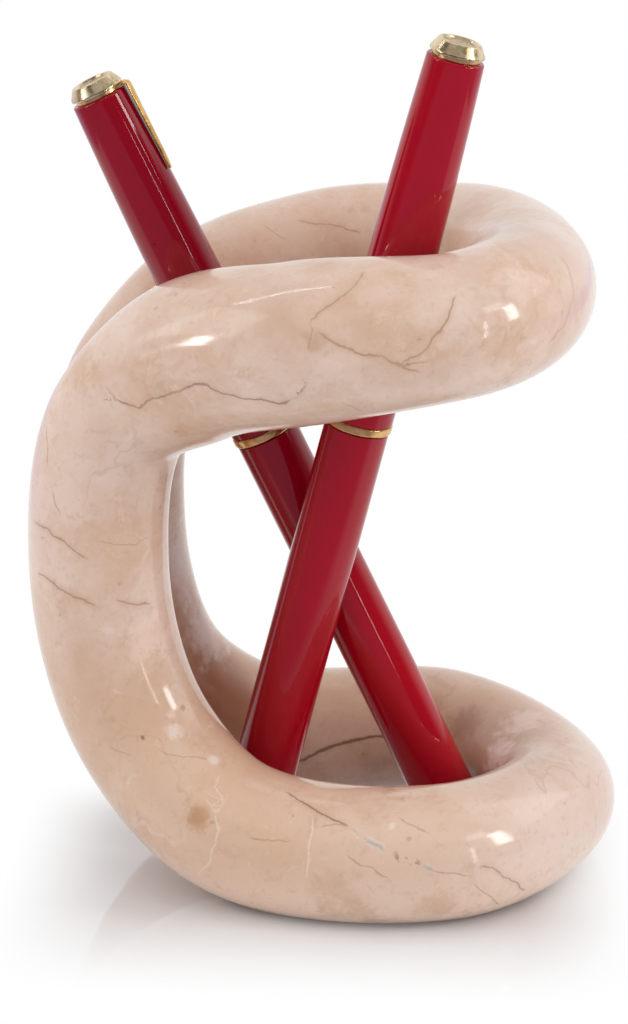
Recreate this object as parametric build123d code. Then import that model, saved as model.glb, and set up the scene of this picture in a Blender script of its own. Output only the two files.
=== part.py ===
from build123d import *
import os
from math import cos, radians, sin, sqrt, tan

# Stone loop: one rail from the tip of the upper ring to the toe of the lower ring.
# Each station holds forward position, half width between rails, height above the base, bar radius.
bar_radius = 11.0
arm_bar_radius = 12.4
shoulder_bar_radius = 12.8
toe_bar_radius = 9.8
upper_tip = (30.5, 0, 93.8, bar_radius)
upper_side = (20.4, 28.0, 93.6, bar_radius)
upper_arm = (-3.4, 28.5, 90.4, arm_bar_radius)
shoulder = (-19.9, 19.4, 85.2, shoulder_bar_radius)
upright_top = (-31.6, 13.6, 75.3, bar_radius)
waist = (-35.5, 14.0, 51.0, bar_radius)
heel = (-27.3, 16.3, 22.4, bar_radius)
lower_arm = (-16.6, 22.1, 12.5, bar_radius)
lower_side = (20.0, 27.3, 9.4, 10.6)
lower_toe = (37.4, 0.0, 8.9, toe_bar_radius)
upper_stations = (upper_tip, upper_side, upper_arm, shoulder, upright_top)
lower_stations = (waist, heel, lower_arm, lower_side, lower_toe)
stations = upper_stations + lower_stations
sections_per_span = 3

# Felt feet: stuck under the ground flat of the lower ring.
felt_thickness = 0.8
felt_radius = 3.2
felt_places = (7.4, 8.5)

# Pens in the stand: foot position on the desk, lean to the right, lean to the back, turn of the clip.
pen_a_place = (-13.2, -3.95, 13.73, -4.80, 78.0)
pen_b_place = (22.4, 5.3, -25.6, -3.50, -8.0)
floor_gap = 0.25

# Pen body, heights measured from the blind end of the barrel.
pen_length = 138.3
cap_length = 62.65
lip_gap = 0.15
barrel_radius = 5.1
barrel_foot_radius = 4.7
foot_round = 2.4
barrel_wall = 1.0
barrel_floor = 6.0
bore_taper = 0.4
thread_relief = 1.0
fit_gap = 0.05
shank_length = 12.0
coupling_radius = 4.4
coupling_height = 1.2
neck_radius = 3.6
grip_radius = 3.95
grip_front_radius = 3.3
grip_lip_radius = 3.5
grip_lip_height = 0.5
grip_length = 20.4
ink_bore = 1.0
nipple_radius = 1.9
nipple_length = 5.3
cartridge_radius = 3.4
cartridge_wall = 0.5
cartridge_foot_gap = 6.0
cartridge_shoulder = 2.0

# Nib and feed.
nib_radius = 2.8
nib_sheet = 0.4
nib_hidden = 8.0
nib_shown = 21.0
nib_straight = 5.0
nib_tip_half = 0.4
nib_slit = 0.24
nib_hole = 0.6
nib_slit_length = 11.0
feed_rear = 17.0
feed_shown = 14.0
feed_fins = 5
fin_pitch = 1.5
fin_slot = 0.6
fin_step = 0.35
feed_land = 1.0
feed_channel = 2.0

# Cap, clip and finial.
cap_wall = 0.6
lip_ring_height = 1.4
lip_ring_radius = 5.4
cap_lip_radius = 5.3
cap_top_radius = 4.45
cap_end_wall = 1.5
cap_edge = 0.4
liner_wall = 0.6
liner_end_wall = 1.5
liner_start = 22.5
clip_ring_thickness = 0.6
clip_ring_radius = 3.7
clip_width = 3.0
clip_tip_width = 1.8
clip_thickness = 0.65
clip_stand_off = 0.1
clip_length = 15.4
clip_root_gap = 0.1
clip_tip_gap = 0.3
finial_height = 2.0
finial_radius = 4.15
finial_top_radius = 3.3
finial_rim = 0.55
finial_recess = 0.35
finial_edge = 0.4
stud_radius = 1.5
stud_length = 4.4

# Heights along the pen that follow from the sizes above.
lip_height = pen_length - cap_length
barrel_top = lip_height - lip_gap
barrel_bore = barrel_radius - barrel_wall
shank_radius = barrel_bore - fit_gap
shank_end = barrel_top - shank_length
grip_start = barrel_top + coupling_height
grip_end = grip_start + grip_length
nib_bore = nib_radius + fit_gap
cap_start = lip_height + lip_ring_height
finial_base = pen_length - finial_height
cap_top = finial_base - clip_ring_thickness
cap_inner_top = cap_top - cap_end_wall
cap_bore = cap_lip_radius - cap_wall
stud_hole = stud_radius + fit_gap


def mirrored(v):
    """A point's twin on the other rail."""
    return Vector(v.X, -v.Y, v.Z)


def bar_at(place):
    """Centre, direction and radius of the bar, where place counts stations along one rail."""
    k = min(int(place), len(stations) - 2)
    t = place - k
    spots = [Vector(x, w, z + felt_thickness) for x, w, z, r in stations]
    spots = [mirrored(spots[1])] + spots + [mirrored(spots[-2])]
    before, start, end, after = spots[k:k + 4]
    lead, span, trail = (start - before).length, (end - start).length, (after - end).length
    rise = (end - start) / span
    leave = ((start - before) / lead * span + rise * lead) / (lead + span) * span
    arrive = (rise * trail + (after - end) / trail * span) / (span + trail) * span
    centre = start * (2 * t**3 - 3 * t**2 + 1) + leave * (t**3 - 2 * t**2 + t)
    centre += end * (3 * t**2 - 2 * t**3) + arrive * (t**3 - t**2)
    way = (end - start) * (6 * t - 6 * t**2) + leave * (3 * t**2 - 4 * t + 1) + arrive * (3 * t**2 - 2 * t)
    thin, thick = stations[k][3], stations[k + 1][3]
    return centre, way.normalized(), thin + (thick - thin) * t * t * (3 - 2 * t)


def stone_loop():
    """Closed waisted loop folded into a C: one rail lofted, mirrored, and ground flat below."""
    count = (len(stations) - 1) * sections_per_span
    rows = [bar_at(k / sections_per_span) for k in range(count + 1)]
    past_tip, past_toe = [(mirrored(c), -mirrored(d), r) for c, d, r in (rows[1], rows[-2])]
    circles = []
    side = Vector(0, 0, 1)
    for centre, way, radius in [past_tip] + rows + [past_toe]:
        side = (side - way * side.dot(way)).normalized()
        circles.append(Plane(origin=centre, x_dir=side, z_dir=way) * Circle(radius))
    reach = 4 * pen_length
    half = loft(circles) & (Pos(0, reach / 2, 0) * Box(reach, reach, reach))
    loop = half + mirror(half, about=Plane.XZ)
    return loop - Pos(0, 0, felt_thickness - reach / 2) * Box(reach, reach, reach)


def felt_feet():
    """Four felt discs under the ground flat, two on each rail of the lower ring."""
    feet = []
    for place in felt_places:
        centre, way, radius = bar_at(place)
        for spot in (centre, mirrored(centre)):
            feet.append(Pos(spot.X, spot.Y, felt_thickness / 2) * Cylinder(felt_radius, felt_thickness))
    return Compound(children=feet)


def turned(*outline):
    """Solid turned round the pen's axis from a closed outline of (radius, height) points."""
    return revolve(make_face(Polyline(*[(r, 0, z) for r, z in outline], close=True)), Axis.Z)


def cap_radius(height):
    """Outside radius of the tapered cap at a height."""
    share = (height - cap_start) / (cap_top - cap_start)
    return cap_lip_radius + (cap_top_radius - cap_lip_radius) * share


def barrel():
    """Lacquered tube with a closed, rounded blind end."""
    body = turned(
        (0, 0), (barrel_foot_radius, 0), (barrel_radius, barrel_top), (barrel_bore, barrel_top),
        (barrel_bore - bore_taper, barrel_floor), (0, barrel_floor),
    )
    relief = shank_end - thread_relief
    thread = turned((0, relief), (barrel_bore, relief), (barrel_bore, barrel_top), (0, barrel_top))
    foot = body.edges().filter_by(GeomType.CIRCLE).sort_by(Axis.Z)[0]
    return fillet(foot, foot_round) - thread


def section():
    """Grip with the shank that screws into the barrel and the nipple that pierces the cartridge."""
    nipple_end = shank_end - nipple_length
    bore_end = grip_end - feed_rear - fit_gap
    return turned(
        (ink_bore, nipple_end), (nipple_radius, nipple_end), (nipple_radius, shank_end),
        (shank_radius, shank_end), (shank_radius, barrel_top - fit_gap), (neck_radius, barrel_top - fit_gap),
        (neck_radius, grip_start), (grip_radius, grip_start),
        (grip_front_radius, grip_end - 2 * grip_lip_height), (grip_lip_radius, grip_end - grip_lip_height),
        (grip_lip_radius, grip_end), (nib_bore, grip_end), (nib_bore, bore_end), (ink_bore, bore_end),
    )


def coupling_ring():
    """Gold ring held between the barrel's mouth and the grip."""
    hole = neck_radius + fit_gap
    low = barrel_top + fit_gap
    high = grip_start - fit_gap
    return turned((hole, low), (coupling_radius, low), (coupling_radius, high), (hole, high))


def cartridge():
    """Closed ink tube pushed on to the section's nipple."""
    top = shank_end - 2 * fit_gap
    low = barrel_floor + cartridge_foot_gap
    mouth = nipple_radius + fit_gap
    room = cartridge_radius - cartridge_wall
    neck_end = top - nipple_length
    return turned(
        (0, low), (cartridge_radius, low), (cartridge_radius, top - cartridge_shoulder),
        (mouth + cartridge_wall, top), (mouth, top), (mouth, neck_end),
        (room, neck_end - cartridge_shoulder / 2), (room, low + cartridge_wall), (0, low + cartridge_wall),
    )


def nib():
    """Arched gold sheet drawn to a point, slit down to its breather hole."""
    rear = grip_end - nib_hidden
    tip = grip_end + nib_shown
    base = grip_end + nib_straight
    inner = nib_radius - nib_sheet
    sheet = turned((inner, rear), (nib_radius, rear), (nib_radius, tip), (inner, tip))
    half = nib_radius - 2 * fit_gap
    plan = Polyline(
        (-half, rear), (half, rear), (half, base), (nib_tip_half, tip), (-nib_tip_half, tip), (-half, base),
        close=True,
    )
    blank = extrude(Plane.XZ * make_face(plan), -2 * nib_radius)
    hole_height = tip - nib_slit_length
    slit_middle = hole_height + nib_slit_length / 2
    slit = Pos(0, nib_radius, slit_middle) * Box(nib_slit, 2 * nib_radius, nib_slit_length)
    hole = Pos(0, nib_radius, hole_height) * Rot(90, 0, 0) * Cylinder(nib_hole, 2 * nib_radius)
    return (sheet & blank) - slit - hole


def feed():
    """Finned ink feed under the nib, sloped away to its front."""
    radius = nib_radius - nib_sheet - fit_gap
    rear = grip_end - feed_rear
    front = grip_end + feed_shown
    body = turned((0, rear), (radius, rear), (radius, front), (0, front))
    slope = Polyline(
        (-2 * radius, grip_end + feed_land), (-radius, grip_end + feed_land), (radius - fin_slot, front),
        (radius - fin_slot, front + feed_land), (-2 * radius, front + feed_land), close=True,
    )
    body -= extrude(Plane.YZ * make_face(slope), 2 * radius, both=True)
    for k in range(feed_fins):
        depth = -radius - fin_slot / 2 + k * fin_step
        body -= Pos(0, depth, grip_end + (k + 1) * fin_pitch) * Box(3 * radius, radius, fin_slot)
    channel = Pos(0, 0, rear) * Cylinder(ink_bore / 2, 2 * feed_channel)
    return body - channel


def lip_ring():
    """Gold ring that closes the mouth of the cap."""
    return turned(
        (cap_bore, lip_height), (lip_ring_radius, lip_height),
        (lip_ring_radius, cap_start), (cap_bore, cap_start),
    )


def cap_tube():
    """Tapered lacquered cap with a closed, pierced top."""
    inner_top = cap_radius(cap_inner_top) - cap_wall
    low = cap_start + fit_gap
    edge = cap_top - cap_edge
    return turned(
        (cap_bore, low), (cap_radius(low), low), (cap_radius(edge), edge),
        (cap_top_radius - cap_edge, cap_top),
        (stud_hole, cap_top), (stud_hole, cap_inner_top), (inner_top, cap_inner_top),
    )


def cap_liner():
    """Inner cap that seals round the nib and takes the finial's stud."""
    low = lip_height + liner_start
    high = cap_inner_top - fit_gap
    outer = [cap_radius(h) - cap_wall - 2 * fit_gap for h in (low, high)]
    inner = [r - liner_wall for r in outer]
    ceiling = high - liner_end_wall
    return turned(
        (inner[0], low), (outer[0], low), (outer[1], high),
        (stud_hole, high), (stud_hole, ceiling), (inner[1], ceiling),
    )


def clip_ring():
    """Clip's washer, clamped under the finial, with the tab that carries the arm."""
    low = cap_top + fit_gap
    high = finial_base - fit_gap
    tall = high - low
    disc = Pos(0, 0, (low + high) / 2) * Cylinder(clip_ring_radius, tall)
    reach = cap_top_radius + clip_stand_off - clip_root_gap
    tab = Pos(reach / 2, 0, (low + high) / 2) * Box(reach, clip_width, tall)
    hole = Pos(0, 0, (low + high) / 2) * Cylinder(stud_hole, 2 * tall)
    return disc + tab - hole


def clip():
    """Springy arm that bends over the edge of the cap and runs down close beside it to a rounded tip."""
    root = cap_top_radius + clip_stand_off
    top = finial_base - fit_gap
    tip = top - clip_length
    bend = clip_thickness / 2
    tip_inner = cap_radius(tip) + clip_tip_gap
    shoulder_arc = CenterArc((root + bend, top - clip_thickness), clip_thickness, 0, 90)
    side = Polyline(
        (root + bend, top), (root, top), (root, cap_top + fit_gap), (root + bend, top - 2 * clip_thickness),
        (tip_inner, tip), (tip_inner + clip_thickness, tip), (root + 3 * bend, top - clip_thickness),
    )
    arm = extrude(Plane.XZ * make_face(side + shoulder_arc), clip_width / 2, both=True)
    tip_round = clip_tip_width / 2
    front = Polyline(
        (-clip_width / 2, top), (clip_width / 2, top),
        (tip_round, tip + tip_round), (-tip_round, tip + tip_round), close=True,
    )
    outline = make_face(front) + Pos(0, tip + tip_round) * Circle(tip_round)
    return arm & extrude(Plane.YZ * outline, 3 * root)


def finial():
    """Gold truncated cone with a rimmed flat top, on the stud that clamps the cap together."""
    rim = finial_top_radius - finial_rim
    floor = pen_length - finial_recess
    stud_end = finial_base - stud_length
    return turned(
        (0, stud_end), (stud_radius, stud_end), (stud_radius, finial_base), (finial_radius, finial_base),
        (finial_radius, finial_base + finial_edge), (finial_top_radius, pen_length),
        (rim, pen_length), (rim - finial_recess, floor), (0, floor),
    )


def pen_location(x, y, lean_x, lean_y, clip_turn):
    """Where a pen stands: its blind end touches the desk and its axis leans two ways."""
    way = Vector(tan(radians(lean_x)), tan(radians(lean_y)), 1).normalized()
    tilt_cos = way.Z
    tilt_sin = sqrt(1 - tilt_cos * tilt_cos)
    height = floor_gap + foot_round + (barrel_foot_radius - foot_round) * tilt_sin - foot_round * tilt_cos
    across = Vector(1, 0, 0) - way * way.X
    return Location(Plane(origin=(x, y, height), x_dir=across, z_dir=way)) * Rot(0, 0, clip_turn)


os.makedirs("parts", exist_ok=True)
export_step(stone_loop(), "parts/stone_loop.step")
export_step(felt_feet(), "parts/felt_feet.step")
pen_pieces = {
    "barrel": barrel(),
    "section": section(),
    "coupling_ring": coupling_ring(),
    "cartridge": cartridge(),
    "nib": nib(),
    "feed": feed(),
    "lip_ring": lip_ring(),
    "cap_tube": cap_tube(),
    "cap_liner": cap_liner(),
    "clip_ring": clip_ring(),
    "clip": clip(),
    "finial": finial(),
}
for pen, place in (("pen_a", pen_a_place), ("pen_b", pen_b_place)):
    where = pen_location(*place)
    for piece, shape in pen_pieces.items():
        export_step(where * shape, f"parts/{pen}_{piece}.step")
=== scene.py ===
from math import cos, hypot, pi, radians, sin, sqrt, tan

import bmesh
import bpy
import numpy as np
from mathutils import Matrix, Vector


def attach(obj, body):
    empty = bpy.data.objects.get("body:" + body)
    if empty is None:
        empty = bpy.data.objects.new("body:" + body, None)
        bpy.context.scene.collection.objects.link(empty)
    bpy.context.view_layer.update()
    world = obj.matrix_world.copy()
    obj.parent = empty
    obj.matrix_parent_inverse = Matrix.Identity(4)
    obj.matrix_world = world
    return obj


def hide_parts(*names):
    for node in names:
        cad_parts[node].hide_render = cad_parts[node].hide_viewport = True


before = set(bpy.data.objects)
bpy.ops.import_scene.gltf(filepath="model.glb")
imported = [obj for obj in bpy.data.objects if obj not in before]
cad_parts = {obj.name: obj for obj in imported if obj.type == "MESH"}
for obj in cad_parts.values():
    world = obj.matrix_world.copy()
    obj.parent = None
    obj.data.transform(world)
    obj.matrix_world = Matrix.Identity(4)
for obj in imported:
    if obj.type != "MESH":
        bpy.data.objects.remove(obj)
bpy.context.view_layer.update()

mm = 0.001

# Stone loop: one bar of beige marble, carved as a closed waisted loop and folded into a C.
# It is cut from a single block, ground flat underneath and polished all over.
# Each station of a rail holds forward position, half width, height above the felt and bar radius, in mm.
felt_thickness = 0.8
stations = (
    (30.5, 0.0, 93.8, 11.0),
    (20.4, 28.0, 93.6, 11.0),
    (-3.4, 28.5, 90.4, 12.4),
    (-19.9, 19.4, 85.2, 12.8),
    (-31.6, 13.6, 75.3, 11.0),
    (-35.5, 14.0, 51.0, 11.0),
    (-27.3, 16.3, 22.4, 11.0),
    (-16.6, 22.1, 12.5, 11.0),
    (20.0, 27.3, 9.4, 10.6),
    (37.4, 0.0, 8.9, 9.8),
)
polished_off = 0.02
rings_per_span = 36
sides_of_bar = 88
seam_reach = 0.01
same_point = 0.005


def bar_at(place):
    """Centre, direction and radius of the bar at a place that counts stations along one rail."""
    first = min(int(place), len(stations) - 2)
    t = place - first
    spots = [Vector((x, w, z + felt_thickness)) for x, w, z, radius in stations]
    spots = [spots[1] * Vector((1, -1, 1))] + spots + [spots[-2] * Vector((1, -1, 1))]
    before, start, end, after = spots[first:first + 4]
    lead, span, trail = (start - before).length, (end - start).length, (after - end).length
    rise = (end - start) / span
    leave = ((start - before) / lead * span + rise * lead) / (lead + span) * span
    arrive = (rise * trail + (after - end) / trail * span) / (span + trail) * span
    centre = start * (2 * t**3 - 3 * t**2 + 1) + leave * (t**3 - 2 * t**2 + t)
    centre += end * (3 * t**2 - 2 * t**3) + arrive * (t**3 - t**2)
    way = (end - start) * (6 * t - 6 * t**2) + leave * (3 * t**2 - 4 * t + 1) + arrive * (3 * t**2 - 2 * t)
    thin, thick = stations[first][3], stations[first + 1][3]
    radius = thin + (thick - thin) * t * t * (3 - 2 * t) - polished_off
    return centre * mm, way.normalized(), radius * mm


def polished_loop():
    """One rail of rings bridged into a tube, mirrored on to the other rail and ground flat below."""
    shape = bmesh.new()
    side = Vector((0, 0, 1))
    last = None
    for step in range((len(stations) - 1) * rings_per_span + 1):
        centre, way, radius = bar_at(step / rings_per_span)
        side = (side - way * side.dot(way)).normalized()
        turn = Matrix((side, way.cross(side), way)).transposed().to_4x4()
        place = Matrix.Translation(centre) @ turn
        made = bmesh.ops.create_circle(
            shape, segments=sides_of_bar, radius=radius, cap_ends=False, matrix=place)
        ring = list({e for v in made["verts"] for e in v.link_edges})
        if last:
            bmesh.ops.bridge_loops(shape, edges=last + ring)
        last = ring
    everything = shape.verts[:] + shape.edges[:] + shape.faces[:]
    bmesh.ops.mirror(shape, geom=everything, axis="Y", merge_dist=seam_reach * mm)
    bmesh.ops.remove_doubles(shape, verts=shape.verts, dist=same_point * mm)
    bmesh.ops.recalc_face_normals(shape, faces=shape.faces)
    everything = shape.verts[:] + shape.edges[:] + shape.faces[:]
    cut = bmesh.ops.bisect_plane(
        shape, geom=everything, plane_co=(0, 0, felt_thickness * mm), plane_no=(0, 0, 1), clear_inner=True)
    rim = [e for e in cut["geom_cut"] if isinstance(e, bmesh.types.BMEdge)]
    bmesh.ops.edgeloop_fill(shape, edges=rim)
    bmesh.ops.recalc_face_normals(shape, faces=shape.faces)
    for face in shape.faces:
        face.smooth = True
    for edge in rim:
        edge.smooth = False
    return shape


def piece(name, shape, finish, body, slot, *stands_for):
    """An object made from a finished mesh, which rides on a body in place of its CAD nodes."""
    mesh = bpy.data.meshes.new(name)
    shape.to_mesh(mesh)
    shape.free()
    mesh.materials.append(finish)
    made = bpy.data.objects.new(name, mesh)
    bpy.context.scene.collection.objects.link(made)
    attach(made, body)
    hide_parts(*stands_for)
    return made


def colour(red, green, blue):
    """Linear colour from the 0 to 255 values of a colour chart."""
    parts = [v / 255 for v in (red, green, blue)]
    return tuple(v / 12.92 if v < 0.04045 else ((v + 0.055) / 1.055) ** 2.4 for v in parts) + (1,)


def node(finish, kind, inputs=(), **settings):
    """A node of a finish. An input takes a number, a colour or the output of another node."""
    made = finish.node_tree.nodes.new("ShaderNode" + kind)
    for name, value in settings.items():
        setattr(made, name, value)
    for name, value in dict(inputs).items():
        if isinstance(value, bpy.types.NodeSocket):
            finish.node_tree.links.new(value, made.inputs[name])
        else:
            made.inputs[name].default_value = value
    return made


def new_finish(name, **sockets):
    """A finish with its shader's constant sockets set, and the shader."""
    finish = bpy.data.materials.new(name)
    finish.use_nodes = True
    shader = finish.node_tree.nodes["Principled BSDF"]
    for socket, value in sockets.items():
        shader.inputs[socket.replace("_", " ")].default_value = value
    return finish, shader


def wire(finish, shader, **outputs):
    """Joins the outputs of nodes to the shader's sockets."""
    for socket, output in outputs.items():
        finish.node_tree.links.new(output, shader.inputs[socket.replace("_", " ")])


def fade(finish, value, start, end, low=0.0, high=1.0):
    """A value taken smoothly from low to high as it goes from start to end."""
    inputs = {"Value": value, "From Min": start, "From Max": end, "To Min": low, "To Max": high}
    return node(finish, "MapRange", inputs, interpolation_type="SMOOTHSTEP").outputs["Result"]


def times(finish, first, second):
    """Two values multiplied."""
    return node(finish, "Math", {0: first, 1: second}, operation="MULTIPLY").outputs[0]


def tint(finish, amount, under, over):
    """A colour laid over another by an amount."""
    inputs = {"Factor": amount, "A": under, "B": over}
    made = finish.node_tree.nodes.new("ShaderNodeMix")
    made.data_type = "RGBA"
    for socket in made.inputs:
        if socket.enabled and socket.name in inputs:
            value = inputs[socket.name]
            if isinstance(value, bpy.types.NodeSocket):
                finish.node_tree.links.new(value, socket)
            else:
                socket.default_value = value
    return next(socket for socket in made.outputs if socket.enabled)


def noise(finish, where, scale, detail, roughness=0.6, output="Fac"):
    """A cloudy noise of a finish."""
    inputs = {"Vector": where, "Scale": scale, "Detail": detail, "Roughness": roughness}
    return node(finish, "TexNoise", inputs).outputs[output]


def shifted(finish, where, push, reach):
    """Places pushed about by a coloured noise, up to a reach in metres."""
    inputs = {0: push, 1: (reach, reach, reach), 2: where}
    return node(finish, "VectorMath", inputs, operation="MULTIPLY_ADD").outputs[0]


marble, marble_shader = new_finish("polished_marble", IOR=1.5)
grain = node(marble, "TexCoord").outputs["Object"]
bent = shifted(marble, grain, noise(marble, grain, 150, 3, output="Color"), 0.006)
crumbled = shifted(marble, grain, noise(marble, grain, 900, 2, output="Color"), 0.0012)
clouds = noise(marble, bent, 38, 6, 0.62)
veil = noise(marble, grain, 15, 2)
crumbs = noise(marble, bent, 300, 5, 0.72)
flecks = noise(marble, grain, 650, 3, 0.6)
stained = noise(marble, bent, 80, 5, 0.66)
spot = node(marble, "SeparateXYZ", {"Vector": grain})
ahead = spot.outputs["X"]
height = spot.outputs["Z"]

stone = tint(marble, fade(marble, clouds, 0.36, 0.64), colour(206, 170, 146), colour(221, 196, 181))
warmth = times(marble, fade(marble, height, 0.050, 0.012), fade(marble, veil, 0.30, 0.62, 0.30, 0.75))
warmth = times(marble, warmth, fade(marble, ahead, 0.040, 0.012))
stone = tint(marble, warmth, stone, colour(214, 178, 151))
stone = tint(marble, fade(marble, veil, 0.52, 0.72, 0, 0.25), stone, colour(224, 202, 192))
# Painted light: the right end of the stone is tinted paler, as if lit from the right.
stone = tint(marble, fade(marble, ahead, 0.026, 0.044, 0, 0.35), stone, colour(214, 192, 184))
# Painted light: the bottom of the stone is tinted paler, standing in for light bounced up from the desk.
stone = tint(marble, fade(marble, height, 0.012, 0.002, 0, 0.80), stone, colour(246, 216, 196))
stone = tint(marble, fade(marble, stained, 0.52, 0.72, 0, 0.52), stone, colour(194, 152, 120))
stone = tint(marble, fade(marble, crumbs, 0.54, 0.74, 0, 0.40), stone, colour(190, 151, 124))
stone = tint(marble, fade(marble, crumbs, 0.44, 0.26, 0, 0.40), stone, colour(232, 212, 200))
stone = tint(marble, fade(marble, flecks, 0.56, 0.72, 0, 0.22), stone, colour(184, 146, 120))

# Painted shade: the insides of the lower cup and of the upper ring are tinted darker brown, where shade
# falls in the hollows.
oval_shape = (0.77, 1, 0)
oval_shift = (-0.003, 0, 0)
oval = node(marble, "VectorMath", {0: grain, 1: oval_shape, 2: oval_shift}, operation="MULTIPLY_ADD")
from_middle = node(marble, "VectorMath", {0: oval.outputs[0]}, operation="LENGTH").outputs["Value"]
hollow = fade(marble, from_middle, 0.030, 0.015)
lower_hollow_shade = times(marble, hollow, fade(marble, height, 0.055, 0.020))
lower_hollow_shade = times(marble, lower_hollow_shade, fade(marble, ahead, -0.004, -0.020, 0.16, 0.95))
lower_hollow_shade = times(marble, lower_hollow_shade, fade(marble, ahead, 0.031, 0.023))
# Painted shade in the lower cup.
stone = tint(marble, lower_hollow_shade, stone, colour(164, 106, 76))
upper_hollow_shade = times(marble, hollow, fade(marble, height, 0.070, 0.090, 0, 0.44))
upper_hollow_shade = times(marble, upper_hollow_shade, fade(marble, ahead, 0.018, -0.002))
# Painted shade inside the upper ring.
stone = tint(marble, upper_hollow_shade, stone, colour(172, 122, 92))

pits = node(marble, "TexVoronoi", {"Vector": crumbled, "Scale": 330})
chosen = node(marble, "SeparateColor", {"Color": pits.outputs["Color"]}).outputs["Red"]
freckle = fade(marble, pits.outputs["Distance"], 0.16, 0.03)
freckle = times(marble, freckle, fade(marble, chosen, 0.80, 0.84))
stone = tint(marble, times(marble, freckle, 0.42), stone, colour(160, 124, 98))

patch = noise(marble, grain, 27, 2)
wisps = (
    (30, 0.010, 0.26, colour(176, 137, 108)),
    (24, 0.013, 0.28, colour(231, 213, 202)),
)
for scale, thickness, strength, ink in wisps:
    ridge = noise(marble, bent, scale, 4, 0.55)
    slope = node(marble, "Math", {0: ridge, 1: 0.5}, operation="SUBTRACT").outputs[0]
    slope = node(marble, "Math", {0: slope}, operation="ABSOLUTE").outputs[0]
    wisp = times(marble, fade(marble, slope, thickness, 0.0), fade(marble, patch, 0.46, 0.60, 0, strength))
    stone = tint(marble, wisp, stone, ink)

loop = piece("polished_loop", polished_loop(), marble, "stand", "marble", "stone_loop")


crack_reach = 1.6
crack_taper = 3
crack_end = 0.2


def line_on_stone(name, *lines):
    """Keeps on the mesh, for each of its points, how far it is across from the nearest crooked line."""
    mesh = loop.data
    spots = np.empty(len(mesh.vertices) * 3)
    mesh.vertices.foreach_get("co", spots)
    spots = spots.reshape(-1, 3) / mm
    out = np.empty(len(mesh.vertices) * 3)
    mesh.vertices.foreach_get("normal", out)
    out = out.reshape(-1, 3)
    nearest = np.full(len(spots), np.inf)
    kept = np.zeros((len(spots), 3))
    for line in lines:
        marks = np.array(line, float)
        steps = np.linalg.norm(np.diff(marks, axis=0), axis=1)
        gone = np.concatenate([[0], np.cumsum(steps)])
        for part, (start, end) in enumerate(zip(marks, marks[1:])):
            along = (end - start) / steps[part]
            far = (spots - start) @ along
            foot = start + np.clip(far, 0, steps[part])[:, None] * along
            gap = spots - foot
            reach = np.linalg.norm(gap, axis=1)
            closer = reach < nearest
            nearest[closer] = reach[closer]
            across = np.cross(along, out)
            across /= np.maximum(np.linalg.norm(across, axis=1), 1e-6)[:, None]
            travel = gone[part] + far
            tail = np.minimum(travel, gone[-1] - travel)
            kept[closer, 0] = ((spots - start) * across).sum(1)[closer]
            weight = np.clip(crack_end + tail / crack_taper, 0, 1)
            kept[closer, 1] = np.where(reach < crack_reach, weight, 0)[closer]
    layer = mesh.attributes.new(name, "FLOAT_VECTOR", "POINT")
    layer.data.foreach_set("vector", kept.astype(np.float32).ravel())


jag = fade(marble, noise(marble, grain, 260, 5), 0.25, 0.75, -0.35, 0.35)
patchy = fade(marble, clouds, 0.36, 0.56, 0.45, 1.0)


def drawn_line(under, name, layers, *lines):
    """Crooked lines on the stone, in layers of (half width in mm, strength, broken by, colour)."""
    line_on_stone(name, *lines)
    read = node(marble, "Attribute", attribute_name=name).outputs["Vector"]
    parts = node(marble, "SeparateXYZ", {"Vector": read})
    off = node(marble, "Math", {0: parts.outputs["X"], 1: jag}, operation="ADD").outputs[0]
    off = node(marble, "Math", {0: off}, operation="ABSOLUTE").outputs[0]
    ends = fade(marble, parts.outputs["Y"], 0.1, 0.6)
    for width, strength, broken, ink in layers:
        mask = times(marble, fade(marble, off, width, width * 0.15), times(marble, ends, broken))
        under = tint(marble, times(marble, mask, strength), under, ink)
    return under


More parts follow.
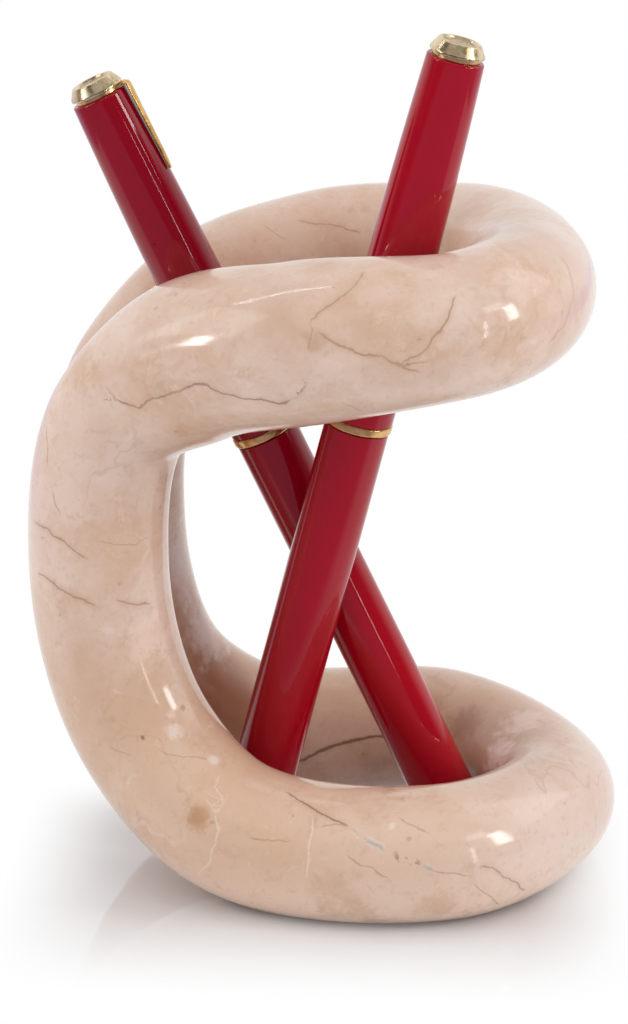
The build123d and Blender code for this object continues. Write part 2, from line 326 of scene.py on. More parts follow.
rust = (1.1, 0.22, patchy, colour(188, 146, 114))
stone = drawn_line(
    stone, "fine_cracks", ((0.22, 0.48, patchy, colour(164, 124, 96)),),
    ((-33.5, -25.5, 81), (-31, -27.5, 81.5)),
    ((-33, -26, 83.5), (-31.5, -27, 82), (-30, -28, 81)),
    ((-1.5, -40.5, 97), (-1, -41, 96), (-1.5, -41.5, 94.5), (-1.5, -41.5, 93)),
    ((-34.5, -24.5, 58.5), (-32, -24, 58), (-29, -22.5, 57.5), (-27, -20, 58)),
    ((-43, -18, 75), (-42.5, -19.5, 72), (-42.5, -20.5, 69)),
    ((-41.5, -22, 66), (-41, -22.5, 64), (-40, -23, 62)),
    ((0.5, -36, 17), (2.5, -35.5, 17.5), (5, -36.5, 17.5)),
    ((16.5, -39, 12.5), (18.5, -39, 11.5), (21, -38.5, 11), (24, -37.5, 10.5)),
    ((24, -37, 9), (26, -35.5, 7), (28.5, -31, 3)),
    ((12.5, -35, 19), (14, -36, 18), (17.5, -37, 17)),
    ((5, -38.5, 14), (6.5, -39, 12.5), (9, -39.5, 12), (11.5, -39.5, 10)),
    ((-10.5, -35, 14.5), (-8, -35.5, 14.5), (-3.5, -36.5, 15)),
    ((-25, -27, 25.5), (-22, -27.5, 25), (-18.5, -27, 24.5), (-16.5, -27, 24)),
    ((-33, -25.5, 25.5), (-31, -26.5, 25), (-29, -27, 24.5)),
    ((3.5, -39.5, 85), (5, -38.5, 84.5), (6.5, -37.5, 83)),
    ((-12.5, 18, 100), (-8, 16, 98)),
    ((-31, 27.5, 81.5), (-29, 28.5, 81), (-27.5, 29, 81), (-25, 31, 83), (-21.5, 32.5, 84.5),
     (-18.5, 34.5, 86)),
    ((0, 41, 96), (4, 42, 94), (6.5, 42, 93), (9.5, 42, 92.5), (11.5, 41.5, 91.5)),
    ((-41.5, 22, 66), (-41, 22.5, 64), (-40, 23, 62)),
    ((5, 38.5, 14), (6.5, 39, 12.5), (9, 39.5, 12), (11.5, 39.5, 10)),
    ((-25, 27, 25.5), (-22, 27.5, 25), (-18.5, 27, 24.5), (-16.5, 27, 24)),
    ((43.5, 17, 5), (45, 13, 7.5), (46, 9.5, 9), (46.5, 6, 12)),
    ((40, -8, 99), (41, -5, 97), (41, -1, 95.5), (41, 3, 92)),
)
stone = drawn_line(
    stone, "brown_cracks", (rust, (0.24, 0.60, patchy, colour(156, 116, 90))),
    ((6.5, -35, 104), (5, -37.5, 102), (3.5, -39, 101), (1, -39.5, 99.5), (-0.5, -40, 98),
     (-1.5, -40.5, 97)),
    ((0, -41, 96), (4, -42, 94), (6.5, -42, 93), (9.5, -42, 92.5), (11.5, -41.5, 91.5), (15, -41, 90)),
    ((12, -41.5, 91.5), (14.5, -41.5, 93), (16, -41, 94.5), (18.5, -40, 98), (19, -39, 99.5),
     (20, -37.5, 101)),
    ((35, -17, 103), (36.5, -19, 101), (37, -20, 100), (37, -21.5, 98), (37, -23.5, 96.5),
     (36, -25.5, 94.5), (35, -27.5, 93.5), (33.5, -29, 92)),
    ((-6.5, 19.5, 100.5), (-3, 19.5, 100), (0.5, 20, 99.5), (4, 19.5, 98.5)),
    ((-45, -19, 60), (-42.5, -22, 59.5), (-40.5, -23.5, 58.5), (-38.5, -24.5, 57.5), (-36, -25, 55.5)),
    ((-44.5, -20.5, 52), (-42.5, -22.5, 51.5), (-40, -24, 50.5), (-37.5, -25, 49.5), (-34.5, -25, 48)),
    ((-32, -24.5, 49), (-29, -23.5, 48), (-26.5, -21, 47.5)),
    ((25, -36.5, 11.5), (27.5, -35, 11), (29, -34, 9), (31, -32, 7), (32.5, -29, 4.5)),
    ((12, 41.5, 91.5), (14.5, 41.5, 93), (16, 41, 94.5), (18.5, 40, 98), (19, 39, 99.5), (20, 37.5, 101)),
    ((-43.5, 20, 64), (-41.5, 22.5, 63.5), (-39, 24, 62.5), (-36.5, 25, 61.5), (-33.5, 24.5, 60)),
    ((-36, 25, 49), (-34.5, 25, 47), (-31.5, 25, 44.5), (-29.5, 24.5, 41)),
    ((-15, 28, 21.5), (-12, 30.5, 20.5), (-10.5, 31.5, 20), (-8.5, 33, 19.5), (-5, 35, 18.5)),
    ((25, 36.5, 11.5), (27.5, 35, 11), (29, 34, 9), (31, 32, 7)),
)
stone = drawn_line(
    stone, "dark_cracks", (rust, (0.28, 0.78, patchy, colour(138, 106, 90))),
    ((-31, -27.5, 81.5), (-29, -28.5, 81), (-27.5, -29, 81), (-25, -31, 83), (-21.5, -32.5, 84.5),
     (-18.5, -34.5, 86), (-17, -35.5, 86.5), (-14, -36.5, 85.5), (-11, -37.5, 85), (-8, -38.5, 85),
     (-5, -39, 84.5), (-4, -39.5, 85.5)),
    ((-5, -29.5, 20.5), (-2, -32, 19.5), (-0.5, -33, 19), (1.5, -34.5, 18.5), (5, -36.5, 17.5)),
)
stone = drawn_line(
    stone, "cup_crack", (rust, (0.45, 0.80, 1.0, colour(110, 76, 58))),
    ((-9, 13, 7), (-6, 14.5, 8.5), (-2, 15.5, 10), (2.5, 17, 11.5), (7, 18, 12), (10, 18.5, 12.5)),
)
bits = fade(marble, flecks, 0.47, 0.53)
crystal_white = (1.0, 0.65, bits, colour(222, 210, 204))
crystal_core = (0.5, 0.60, bits, colour(168, 150, 140))
stone = drawn_line(
    stone, "pale_crystals", (crystal_white, crystal_core),
    ((5.5, -36.5, 17), (6.5, -37, 16.5), (8, -38, 16), (10, -38.5, 15.5), (11, -38.5, 14.5)),
    ((16.5, -39, 12.5), (18.5, -39, 11.5)),
)
stone = drawn_line(
    stone, "grey_crystals", ((0.75, 0.70, bits, colour(138, 120, 110)),),
    ((12, -39, 14.5), (13, -39, 13.5), (14.5, -39, 13), (16.5, -39, 12.5)),
    ((-3.5, -39.5, 85.5), (-3, -40.5, 86.5), (-2, -40.5, 88), (-1.5, -41, 89)),
)
stone = drawn_line(
    stone, "white_veins", ((0.24, 0.46, patchy, colour(236, 220, 207)),),
    ((-15, -28.5, 22.5), (-16, -30, 21), (-15, -30.5, 20), (-14.5, -31.5, 19), (-15.5, -32.5, 17),
     (-15, -33.5, 15.5), (-16, -34, 12), (-16.5, -34, 10), (-19, -31, 6)),
    ((-0.5, -34.5, 18.5), (-0.5, -36, 16.5), (-1, -37, 14.5), (-1, -38.5, 9.5)),
    ((-17.5, -31, 19.5), (-15.5, -32.5, 17.5)),
    ((-0.5, 34.5, 18.5), (-0.5, 36, 16.5), (-1, 37, 14.5), (-1, 38.5, 9.5)),
)

ragged = node(marble, "Math", {0: crumbs, 1: 1.6, 2: -0.8}, operation="MULTIPLY_ADD").outputs[0]
ragged = node(marble, "Math", {0: flecks, 1: 1.4, 2: ragged}, operation="MULTIPLY_ADD").outputs[0]


def blot(under, place, size, strength, ink):
    """A ragged spot of colour at a place on the stone, its place and size in millimetres."""
    middle = tuple(v * mm for v in place)
    far = node(marble, "VectorMath", {0: grain, 1: middle}, operation="DISTANCE").outputs["Value"]
    edge = node(marble, "Math", {0: far, 1: 1 / (size * mm), 2: ragged}, operation="MULTIPLY_ADD")
    return tint(marble, fade(marble, edge.outputs[0], 1.8, 0.9, 0, strength), under, colour(*ink))


blots = (
    ((-18.5, -32.5, 16.5), 2.7, 0.65, (176, 128, 86)),
    ((19, -37.5, 5.5), 4.0, 0.40, (196, 146, 108)),
    ((15, 38, 6.5), 3.0, 0.45, (186, 138, 100)),
    ((-26, 26, 88), 3.5, 0.40, (192, 150, 120)),
    ((-0.5, -41.5, 94.5), 2.2, 0.50, (184, 142, 114)),
    ((-35, -23.5, 85), 2.5, 0.45, (196, 156, 124)),
    ((-37.5, -19, 85), 6.0, 0.65, (196, 156, 124)),
    # Painted light: these two pale blots brighten the right inner wall of the cup, as if lit from the
    # left.
    ((28, 4, 15), 4.5, 0.85, (244, 216, 206)),
    ((32, 8.5, 19), 5.0, 0.60, (238, 214, 206)),
    # Painted shade: a darker blot in the crease of the cup.
    ((22.5, 14.5, 16.5), 4.0, 0.45, (146, 96, 76)),
    # Painted reflection: these two pale blots on the inner side of the back upright stand for the white
    # surround mirrored there.
    ((-20.5, 12, 33), 7.0, 0.60, (232, 214, 208)),
    ((-24.5, 10, 46), 8.0, 0.60, (230, 216, 214)),
    # Painted highlight: a pale blot on the right side of the lower left bar.
    ((-26.5, -22, 42), 5.0, 0.50, (238, 208, 192)),
    # Painted shade: these four tan blots darken the top and upper front of the upper ring, where it
    # catches the overhead light.
    ((-14, 17.5, 100), 6.0, 0.30, (192, 150, 120)),
    ((22, -33.5, 104), 6.0, 0.40, (196, 158, 132)),
    ((-6, -38, 97), 7.0, 0.40, (198, 162, 138)),
    ((36, -17.5, 102), 5.0, 0.25, (200, 166, 146)),
    ((-27.5, -26.5, 27.5), 0.55, 0.85, (96, 60, 42)),
    ((-21.5, -22, 31), 0.7, 0.60, (126, 92, 72)),
    ((-22.5, -25, 28), 1.7, 0.45, (238, 226, 216)),
    ((-16.5, -26.5, 24), 1.2, 0.50, (236, 224, 214)),
    ((11.5, -36.5, 18), 0.8, 0.55, (238, 224, 214)),
    ((-33, -25, 44.5), 1.6, 0.40, (230, 212, 202)),
)
for place, size, strength, ink in blots:
    stone = blot(stone, place, size, strength, ink)
gloss = fade(marble, crumbs, 0.3, 0.8, 0.09, 0.18)
dents = node(marble, "Bump", {"Height": freckle, "Strength": 0.15, "Distance": 0.0002}, invert=True)
wire(marble, marble_shader, Base_Color=stone, Roughness=gloss, Normal=dents.outputs["Normal"])

# Felt feet: four thin discs of dark pressed felt, punched from sheet and glued under the ground flat.
# They keep their punched shape and get a matted, fuzzy cloth surface.
felt, felt_shader = new_finish("pressed_felt", Roughness=0.95, Sheen_Weight=0.5)
matted = node(felt, "TexCoord").outputs["Object"]
fibres = noise(felt, matted, 2600, 4, 0.7)
felt_tone = tint(felt, fade(felt, fibres, 0.3, 0.7), colour(46, 40, 36), colour(84, 74, 66))
fuzz = node(felt, "Bump", {"Height": fibres, "Strength": 0.6, "Distance": 0.0002}).outputs["Normal"]
wire(felt, felt_shader, Base_Color=felt_tone, Normal=fuzz)


def coat(finish, *names):
    """Gives solids that keep their shape a finish in place of their plain one."""
    for name in names:
        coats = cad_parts[name].data.materials
        coats.clear()
        coats.append(finish)


coat(felt, "felt_feet")

# Barrels: drawn metal tubes with a closed, rounded blind end, sprayed and baked in deep red lacquer.
# Each stands on its blind end in the lower ring and leans on the waist of the upper one.
# A pen's place holds its foot across and back in mm, its two leans and its clip's turn in degrees.
pen_places = {
    "pen_a": (-13.2, -3.95, 13.73, -4.80, 78.0),
    "pen_b": (22.4, 5.3, -25.6, -3.50, -8.0),
}
floor_gap = 0.25
pen_length = 138.3
cap_length = 62.65
lip_height = pen_length - cap_length
barrel_radius = 5.1
barrel_foot_radius = 4.7
lacquered_radius = 5.12
foot_round = 2.4
mouth_gap = 0.15
mouth_round = 0.15
barrel_top = lip_height - mouth_gap
barrel_wall = 1.0
barrel_bore = barrel_radius - barrel_wall
barrel_floor = 6.0
sides_of_pen = 72
steps_of_rounding = 5
same_corner = 0.002
crisp_from = radians(40)


def pen_stance(pen):
    """Where a pen stands: its blind end on the desk, its axis leaning two ways, its clip turned."""
    x, y, lean_x, lean_y, clip_turn = pen_places[pen]
    way = Vector((tan(radians(lean_x)), tan(radians(lean_y)), 1)).normalized()
    slope = sqrt(1 - way.z * way.z)
    lift = floor_gap + foot_round + (barrel_foot_radius - foot_round) * slope - foot_round * way.z
    across = (Vector((1, 0, 0)) - way * way.x).normalized()
    turn = Matrix((across, way.cross(across), way)).transposed().to_4x4()
    foot = Matrix.Translation(Vector((x, y, lift)) * mm)
    return foot @ turn @ Matrix.Rotation(radians(clip_turn), 4, "Z")


def turned(*corners):
    """A piece spun round the pen's axis from (radius, height, rounding) corners, in millimetres."""
    shape = bmesh.new()
    points = [shape.verts.new((radius * mm, 0, height * mm)) for radius, height, soft in corners]
    for start, end in zip(points, points[1:] + points[:1]):
        if start.co.x > 0 or end.co.x > 0:
            shape.edges.new((start, end))
    bmesh.ops.spin(
        shape, geom=shape.verts[:] + shape.edges[:], cent=(0, 0, 0), axis=(0, 0, 1), angle=2 * pi,
        steps=sides_of_pen, use_merge=True)
    bmesh.ops.remove_doubles(shape, verts=shape.verts, dist=same_corner / 2 * mm)
    bmesh.ops.recalc_face_normals(shape, faces=shape.faces)
    near = same_corner * mm
    for radius, height, soft in corners:
        if soft:
            edge = [e for e in shape.edges if all(
                abs(hypot(v.co.x, v.co.y) - radius * mm) < near and abs(v.co.z - height * mm) < near
                for v in e.verts)]
            bmesh.ops.bevel(
                shape, geom=edge, offset=soft * mm, offset_type="OFFSET", segments=steps_of_rounding,
                profile=0.5, affect="EDGES", material=-1, clamp_overlap=True)
    for face in shape.faces:
        face.smooth = True
    for edge in shape.edges:
        edge.smooth = edge.calc_face_angle(0) < crisp_from
    return shape


def even_shading(made):
    """Keeps the long faces flat in shade next to their small rounded edges."""
    made.modifiers.new("even_shading", "WEIGHTED_NORMAL").keep_sharp = True
    return made


def height_shaded_lacquer(name, foot_red_as_lit, top_red_as_lit):
    """Glossy lacquer whose red goes from one shade at the foot of the pen to another higher up, the change
    being painted light and shade.
    """
    lacquer, shader = new_finish(name, IOR=1.42)
    sprayed = node(lacquer, "TexCoord").outputs["Object"]
    raised = node(lacquer, "SeparateXYZ", {"Vector": sprayed}).outputs["Z"]
    red = tint(lacquer, fade(lacquer, raised, 0.025, 0.075), foot_red_as_lit, top_red_as_lit)
    flow = noise(lacquer, sprayed, 55, 3)
    red = tint(lacquer, fade(lacquer, flow, 0.3, 0.7, 0.0, 0.12), red, colour(90, 2, 16))
    dust = node(lacquer, "TexVoronoi", {"Vector": sprayed, "Scale": 330})
    picked = node(lacquer, "SeparateColor", {"Color": dust.outputs["Color"]}).outputs["Red"]
    nick = fade(lacquer, dust.outputs["Distance"], 0.14, 0.05)
    nick = times(lacquer, nick, fade(lacquer, picked, 0.965, 0.975, 0, 0.8))
    red = tint(lacquer, nick, red, colour(84, 8, 18))
    orange_peel = noise(lacquer, sprayed, 420, 2)
    ripple = node(lacquer, "Bump", {"Height": orange_peel, "Strength": 0.02, "Distance": 0.0002})
    shine = fade(lacquer, orange_peel, 0.3, 0.8, 0.04, 0.09)
    wire(lacquer, shader, Base_Color=red, Roughness=shine, Normal=ripple.outputs["Normal"])
    return lacquer


# The two pens get a lit and a shaded copy of one red lacquer: painted light and shade, with pen_b darker
# at the top where it stands in shade.
lacquers = {
    "pen_a": height_shaded_lacquer("lacquer_red_lit_copy", colour(158, 4, 26), colour(160, 6, 30)),
    "pen_b": height_shaded_lacquer("lacquer_red_shaded_copy", colour(168, 5, 27), colour(140, 5, 29)),
}
for pen in pen_places:
    barrel = turned(
        (0, 0, 0), (lacquered_radius, 0, foot_round), (lacquered_radius, barrel_top, mouth_round),
        (barrel_bore, barrel_top, 0), (barrel_bore, barrel_floor, 0), (0, barrel_floor, 0))
    barrel.transform(pen_stance(pen))
    even_shading(piece(f"{pen}_barrel_lacquered", barrel, lacquers[pen], pen, "lacquer", f"{pen}_barrel"))

# Grips and feeds: turned and moulded black plastic, with a polished grip and a finned feed under the nib.
# The grip screws into the barrel and the feed is pushed into the grip behind the nib.
plastic, plastic_shader = new_finish("black_plastic", IOR=1.49)
moulded = node(plastic, "TexCoord").outputs["Object"]
sweat = noise(plastic, moulded, 380, 3, 0.5)
black = tint(plastic, fade(plastic, sweat, 0.3, 0.7), colour(18, 17, 18), colour(30, 28, 29))
rubbed = fade(plastic, sweat, 0.3, 0.8, 0.14, 0.30)
wire(plastic, plastic_shader, Base_Color=black, Roughness=rubbed)
for pen in pen_places:
    coat(plastic, f"{pen}_section", f"{pen}_feed")

# Ink cartridges: thin blown tubes of milky plastic, tinted blue by the ink that fills them.
# Each is pushed on to the grip's nipple and hidden inside the barrel.
milky, milky_shader = new_finish("cartridge_plastic", Roughness=0.35, IOR=1.5)
blown = node(milky, "TexCoord").outputs["Object"]
swirl = noise(milky, blown, 160, 2, 0.5)
ink = tint(milky, fade(milky, swirl, 0.3, 0.7), colour(28, 40, 92), colour(46, 62, 124))
wire(milky, milky_shader, Base_Color=ink)
for pen in pen_places:
    coat(milky, f"{pen}_cartridge")

# Cap tubes: drawn tapered tubes in the same lacquer, closed and pierced at the top for the finial's stud.
# They push over the grip and stop on the barrel's mouth.
cap_lip_radius = 5.3
cap_top_radius = 4.45
cap_wall = 0.6
lip_ring_height = 1.4
lip_ring_radius = 5.4
cap_start = lip_height + lip_ring_height
finial_height = 2.0
finial_base = pen_length - finial_height
clip_ring_room = 0.6
cap_top = finial_base - clip_ring_room
cap_roof = 1.5
cap_inner_top = cap_top - cap_roof
cap_bore = cap_lip_radius - cap_wall
fit_gap = 0.05
stud_hole = 1.55


def cap_radius(place):
    """Outside radius of the tapered cap at a height along the pen."""
    share = (place - cap_start) / (cap_top - cap_start)
    return cap_lip_radius + (cap_top_radius - cap_lip_radius) * share


cap_swell = 0.35
cap_steps = 12
cap_lip_round = 0.08
cap_shoulder = 0.4
for pen in pen_places:
    low = cap_start + fit_gap
    side = []
    for step in range(1, cap_steps):
        share = step / cap_steps
        place = low + (cap_top - low) * share
        bulge = 1 - (2 * share - 1) ** 2
        side.append((cap_radius(place) + cap_swell * bulge, place, 0))
    cap = turned(
        (cap_bore, low, 0), (cap_radius(low), low, cap_lip_round), *side,
        (cap_top_radius, cap_top, cap_shoulder), (stud_hole, cap_top, 0), (stud_hole, cap_inner_top, 0),
        (cap_radius(cap_inner_top) - cap_wall, cap_inner_top, 0))
    cap.transform(pen_stance(pen))
    made = piece(f"{pen}_cap_lacquered", cap, lacquers[pen], f"{pen}_cap", "lacquer", f"{pen}_cap_tube")
    even_shading(made)

# Lip rings: thin bands of gilded brass with softly rounded edges, worn and a little tarnished.
# Each is pressed on to the mouth of a cap and meets the barrel when the cap is on.
band_round = 0.3
gold, gold_shader = new_finish("gilded_brass", Metallic=1.0)
plated = node(gold, "TexCoord").outputs["Object"]
worn = noise(gold, plated, 700, 4, 0.65)
gilt = tint(gold, fade(gold, worn, 0.3, 0.7), colour(206, 160, 98), colour(232, 194, 134))
tarnish = noise(gold, plated, 240, 3, 0.5)
gilt = tint(gold, fade(gold, tarnish, 0.62, 0.76, 0, 0.5), gilt, colour(150, 112, 62))
buffed = fade(gold, worn, 0.2, 0.8, 0.16, 0.32)
wire(gold, gold_shader, Base_Color=gilt, Roughness=buffed)
for pen in pen_places:
    band = turned(
        (cap_bore, lip_height, 0), (lip_ring_radius, lip_height, band_round),
        (lip_ring_radius, cap_start, band_round), (cap_bore, cap_start, 0))
    band.transform(pen_stance(pen))
    even_shading(piece(f"{pen}_lip_band", band, gold, f"{pen}_cap", "gold", f"{pen}_lip_ring"))

# Coupling rings and nibs: a turned ring between barrel and grip, and a nib pressed from sheet and slit.
# Both are gilded like the lip rings, and the nib lies on the feed in the mouth of the grip.
for pen in pen_places:
    coat(gold, f"{pen}_coupling_ring", f"{pen}_nib")

# Cap liners: inner caps moulded in ivory plastic that seal round the nib.
# Each is pushed up into its cap and takes the finial's stud.
ivory, ivory_shader = new_finish("liner_plastic", Roughness=0.4, IOR=1.49)
cast = node(ivory, "TexCoord").outputs["Object"]
haze = noise(ivory, cast, 220, 2, 0.5)
cream = tint(ivory, fade(ivory, haze, 0.3, 0.7), colour(214, 206, 188), colour(230, 223, 208))
wire(ivory, ivory_shader, Base_Color=cream)
for pen in pen_places:
    coat(ivory, f"{pen}_cap_liner")

# Clip rings: stamped gilded washers with a short tab, clamped between the cap and the finial.
# The tab is what the clip's arm springs from.
for pen in pen_places:
    coat(gold, f"{pen}_clip_ring")

# Clips: sprung arms pressed from gilded brass strip, crowned on the outside and drawn in towards the tip.
# Each bends over the edge of the cap and runs down close beside it, worn to a darker gold by handling.
# A ring of the arm holds its distance out and height in mm, its tilt, half width and half thickness.
clip_gilt, clip_shader = new_finish("worn_gilding", Metallic=1.0)
handled = node(clip_gilt, "TexCoord").outputs["Object"]
rubs = noise(clip_gilt, handled, 620, 4, 0.65)
clip_tone = tint(clip_gilt, fade(clip_gilt, rubs, 0.3, 0.7), colour(190, 140, 70), colour(224, 180, 108))
dulled = noise(clip_gilt, handled, 260, 3)
clip_tone = tint(clip_gilt, fade(clip_gilt, dulled, 0.52, 0.70, 0, 0.6), clip_tone, colour(128, 86, 40))
clip_shine = fade(clip_gilt, rubs, 0.2, 0.8, 0.16, 0.34)
wire(clip_gilt, clip_shader, Base_Color=clip_tone, Roughness=clip_shine)
clip_top = finial_base - fit_gap
clip_length = 15.4
clip_tip = clip_top - clip_length
clip_root = cap_top_radius + 0.1
clip_stand_off = 0.3
clip_half_stock = 0.325
clip_line = cap_radius(clip_tip) + clip_stand_off + clip_half_stock
sides_of_clip = 20
clip_rings = (
    (clip_root + 0.02, clip_top - 0.25, 90, 1.15, 0.23),
    (clip_root + 0.35, clip_top - 0.25, 90, 1.15, 0.23),
    (clip_root + 0.56, clip_top - 0.40, 135, 1.12, 0.25),
    (clip_root + 0.65, clip_top - 0.75, 180, 1.10, 0.27),
    (clip_root + 0.66, clip_top - 2.00, 180, 1.05, 0.28),
    (clip_line, clip_tip + 2.2, 180, 0.72, 0.27),
    (clip_line, clip_tip + 0.8, 180, 0.62, 0.25),
    (clip_line, clip_tip + 0.3, 180, 0.42, 0.20),
    (clip_line, clip_tip + 0.1, 180, 0.20, 0.12),
)
for pen in pen_places:
    arm = bmesh.new()
    last = None
    for out, along, tilt, half_width, half_thickness in clip_rings:
        swing = Matrix.Translation((out * mm, 0, along * mm)) @ Matrix.Rotation(radians(tilt), 4, "Y")
        flatten = Matrix.Diagonal((half_thickness * mm, half_width * mm, 1, 1))
        made = bmesh.ops.create_circle(
            arm, segments=sides_of_clip, radius=1.0, cap_ends=False, matrix=swing @ flatten)
        ring = list({e for v in made["verts"] for e in v.link_edges})
        if last:
            bmesh.ops.bridge_loops(arm, edges=last + ring)
        last = ring
    rims = [e for e in arm.edges if e.is_boundary]
    bmesh.ops.holes_fill(arm, edges=rims, sides=0)
    bmesh.ops.recalc_face_normals(arm, faces=arm.faces)
    for face in arm.faces:
        face.smooth = True
    arm.transform(pen_stance(pen))
    even_shading(piece(f"{pen}_clip_pressed", arm, clip_gilt, f"{pen}_clip", "gold", f"{pen}_clip"))

# Finials: turned brass cones in pale gilding, with a raised rim round a sunk, satin top.
# Each has a stud below that goes through the cap and clamps the clip ring to it.
finial_radius = 4.25
finial_top_radius = 3.3
finial_skirt = 0.4
finial_rim = 0.55
finial_recess = 0.35
recess_slope = 0.2
flat_within = 0.01
stud_radius = 1.5
stud_length = 4.4
pale_gilt, pale_shader = new_finish("pale_gilding", Metallic=1.0)
spun = node(pale_gilt, "TexCoord").outputs["Object"]
thinned = noise(pale_gilt, spun, 520, 4, 0.65)
bright = fade(pale_gilt, thinned, 0.3, 0.7)
pale_tone = tint(pale_gilt, bright, colour(190, 164, 122), colour(232, 214, 182))
spent = noise(pale_gilt, spun, 300, 3)
pale_tone = tint(pale_gilt, fade(pale_gilt, spent, 0.54, 0.72, 0, 0.6), pale_tone, colour(118, 98, 68))
pale_shine = fade(pale_gilt, thinned, 0.2, 0.8, 0.16, 0.30)
wire(pale_gilt, pale_shader, Base_Color=pale_tone, Roughness=pale_shine)
satin_gilt, satin_shader = new_finish("satin_gilding", Metallic=1.0)
sanded = node(satin_gilt, "TexCoord").outputs["Object"]
scuffs = noise(satin_gilt, sanded, 900, 4, 0.7)
lit = fade(satin_gilt, scuffs, 0.35, 0.65)
satin_tone = tint(satin_gilt, lit, colour(160, 138, 108), colour(206, 186, 152))
satin_shine = fade(satin_gilt, scuffs, 0.2, 0.8, 0.28, 0.48)
wire(satin_gilt, satin_shader, Base_Color=satin_tone, Roughness=satin_shine)
for pen in pen_places:
    rim_inside = finial_top_radius - finial_rim
    sunk_top = pen_length - finial_recess
    top = turned(
        (0, finial_base - stud_length, 0), (stud_radius, finial_base - stud_length, 0.2),
        (stud_radius, finial_base, 0), (finial_radius, finial_base, 0.15),
        (finial_radius, finial_base + finial_skirt, 0.1), (finial_top_radius, pen_length, 0.18),
        (rim_inside, pen_length, 0.12), (rim_inside - recess_slope, sunk_top, 0.1), (0, sunk_top, 0))
    for face in top.faces:
        face.material_index = int(all(abs(v.co.z - sunk_top * mm) < flat_within * mm for v in face.verts))
    top.transform(pen_stance(pen))
    made = piece(f"{pen}_finial_turned", top, pale_gilt, f"{pen}_cap", "gold", f"{pen}_finial")
    made.data.materials.append(satin_gilt)
    even_shading(made)

# Floor: a plain white, slightly glossy table top that keeps the soft shadow and a faint mirror image.
# Away from the stand it runs out into the white surround with no visible edge.
# Each fade runs from where the table is all white to where it is itself, in metres.
table_half = (0.26, 0.85, 1)
table_middle = (0.04, 0.65, 0)
side_fade = (0.052, 0.031)
back_fade = (0.028, 0.008)
front_fade = (-0.064, -0.026)
table_front = (-0.045, -0.09)
table_shape = bmesh.new()
bmesh.ops.create_grid(table_shape, x_segments=8, y_segments=8, size=1.0)
bmesh.ops.scale(table_shape, vec=table_half, verts=table_shape.verts)
bmesh.ops.translate(table_shape, vec=table_middle, verts=table_shape.verts)
table_mesh = bpy.data.meshes.new("table")
table_shape.to_mesh(table_mesh)
table_shape.free()
table = bpy.data.objects.new("table", table_mesh)
bpy.context.scene.collection.objects.link(table)
table_white, table_shader = new_finish("table_white", Roughness=0.05, IOR=1.8)
table_shader.inputs["Base Color"].default_value = colour(226, 225, 226)
spread = node(table_white, "TexCoord").outputs["Object"]
place = node(table_white, "SeparateXYZ", {"Vector": spread})
sideways = node(table_white, "Math", {0: place.outputs["X"]}, operation="ABSOLUTE").outputs[0]
depth = place.outputs["Y"]
near = times(table_white, fade(table_white, sideways, *side_fade), fade(table_white, depth, *back_fade))
near = times(table_white, near, fade(table_white, depth, *front_fade))
pure = node(table_white, "Emission", {"Color": (1, 1, 1, 1), "Strength": 1.0}).outputs[0]
merge = node(table_white, "MixShader", {0: near, 1: pure, 2: table_shader.outputs[0]}).outputs[0]
path = node(table_white, "LightPath").outputs
camera_or_mirror = {0: path["Is Camera Ray"], 1: path["Is Glossy Ray"]}
seen = node(table_white, "Math", camera_or_mirror, operation="MAXIMUM").outputs[0]
shown = node(table_white, "MixShader", {0: seen, 1: table_shader.outputs[0], 2: merge}).outputs[0]
clear = node(table_white, "BsdfTransparent").outputs[0]
open_front = fade(table_white, depth, *table_front)
shown = node(table_white, "MixShader", {0: open_front, 1: shown, 2: clear}).outputs[0]
wire(table_white, table_white.node_tree.nodes["Material Output"], Surface=shown)
table_mesh.materials.append(table_white)

# Light: a white surround whose mirror image is an unlit room in front, over a pale desk.
# Softboxes stand at the right, the right back, the left and overhead, with panels beside the side ones.
# Two narrow strips, at the right and under the ceiling, draw the thin lights on lacquer and stone.
surround = bpy.data.worlds.new("white_surround")
bpy.context.scene.world = surround
surround.use_nodes = True
sky = surround.node_tree.nodes["Background"]
rays = node(surround, "LightPath").outputs
mirrored = rays["Is Glossy Ray"]
camera_or_glass = {0: rays["Is Camera Ray"], 1: rays["Is Transmission Ray"]}
direct = node(surround, "Math", camera_or_glass, operation="MAXIMUM").outputs[0]
towards = node(surround, "SeparateXYZ", {"Vector": node(surround, "TexCoord").outputs["Generated"]})
room = fade(surround, towards.outputs["Y"], -0.15, 0.45, 0.10, 1.0)
desk = fade(surround, towards.outputs["Z"], -0.02, -0.10)
room = node(surround, "Math", {0: room, 1: times(surround, desk, 0.45)}, operation="MAXIMUM").outputs[0]
desk_seen = times(surround, desk, mirrored)
sky_tone = tint(surround, desk_seen, (1, 1, 1, 1), colour(236, 226, 255))
glow = fade(surround, towards.outputs["Z"], -0.10, 0.80, 0.87, 0.60)
level = node(surround, "Mix", {"Factor": mirrored, "A": glow, "B": room}).outputs[0]
level = node(surround, "Mix", {"Factor": direct, "A": level, "B": 1.0}).outputs[0]
wire(surround, sky, Color=sky_tone, Strength=level)
stand_middle = Vector((0, 0, 0.055))


def away(azimuth, elevation):
    """Direction from the stand to a place round it, from the front and up from the table in degrees."""
    turn, rise = radians(azimuth), radians(elevation)
    return Vector((sin(turn) * cos(rise), -cos(turn) * cos(rise), sin(rise)))


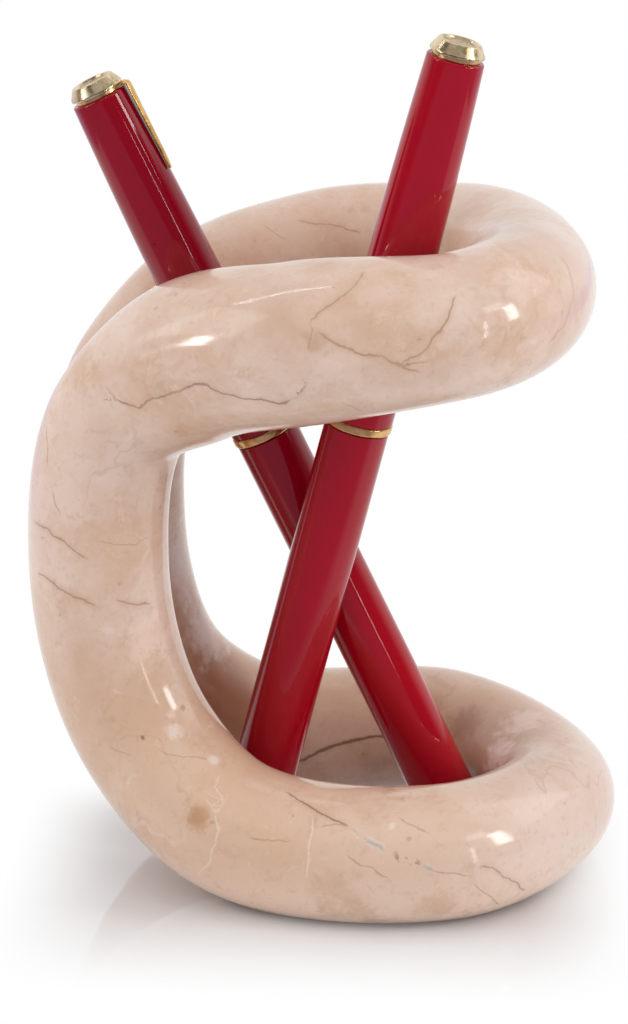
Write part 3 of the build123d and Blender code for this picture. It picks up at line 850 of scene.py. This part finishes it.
def softbox(name, azimuth, elevation, distance, width, tall, power):
    """A flat lamp that faces the middle of the stand, its direction in degrees and its sizes in metres."""
    out = away(azimuth, elevation)
    lamp = bpy.data.lights.new(name, "AREA")
    lamp.shape = "RECTANGLE"
    lamp.size = width
    lamp.size_y = tall
    lamp.energy = power
    made = bpy.data.objects.new(name, lamp)
    made.location = stand_middle + out * distance
    made.rotation_euler = out.to_track_quat("Z", "Y").to_euler()
    bpy.context.scene.collection.objects.link(made)


softbox("right_softbox", 76, 20, 0.9, 0.16, 0.28, 1.6)
softbox("right_panel", 62, 32, 0.9, 0.26, 0.14, 0.30)
softbox("right_strip", 51, 7, 0.9, 0.026, 0.34, 0.32)
softbox("right_back_softbox", 108, 40, 1.2, 0.8, 0.8, 1.6)
softbox("left_softbox", -70, 14, 0.9, 0.10, 0.14, 0.8)
softbox("left_panel", -75, 32, 1.1, 0.6, 0.5, 1.6)
softbox("ceiling_strip", -92, 62, 0.9, 0.020, 0.45, 0.36)
softbox("overhead_softbox", 10, 66, 1.3, 1.6, 1.4, 3.2)

# Camera: a long lens a little above the stand, turned slightly to its right and framed upright.
# Its place and lens are those solved from the stand's outline, in millimetres and in pixels of the frame.
frame_width = 628
frame_height = 1024
sensor_size = 36
camera_azimuth = 2.777
camera_elevation = 16.25
camera_roll = 0.511
camera_distance = 519.721
camera_aim = Vector((-1.988, 0, 56.261))
pixel_focal = 3241.497
pixel_centre = (316.836, 515.752)
turn, roll = radians(camera_azimuth), radians(camera_roll)
back = away(camera_azimuth, camera_elevation)
level_right = Vector((cos(turn), sin(turn), 0))
level_up = back.cross(level_right)
right = level_right * cos(roll) + level_up * sin(roll)
up = level_up * cos(roll) - level_right * sin(roll)
lens = bpy.data.cameras.new("camera")
lens.sensor_width = sensor_size
lens.lens = pixel_focal * sensor_size / frame_height
lens.shift_x = (frame_width / 2 - pixel_centre[0]) / frame_height
lens.shift_y = (pixel_centre[1] - frame_height / 2) / frame_height
lens.clip_start = 0.01
lens.clip_end = 20
camera = bpy.data.objects.new("camera", lens)
bpy.context.scene.collection.objects.link(camera)
eye = (camera_aim + back * camera_distance) * mm
camera.matrix_world = Matrix.Translation(eye) @ Matrix((right, up, back)).transposed().to_4x4()
bpy.context.scene.camera = camera
bpy.context.scene.view_settings.view_transform = "Standard"
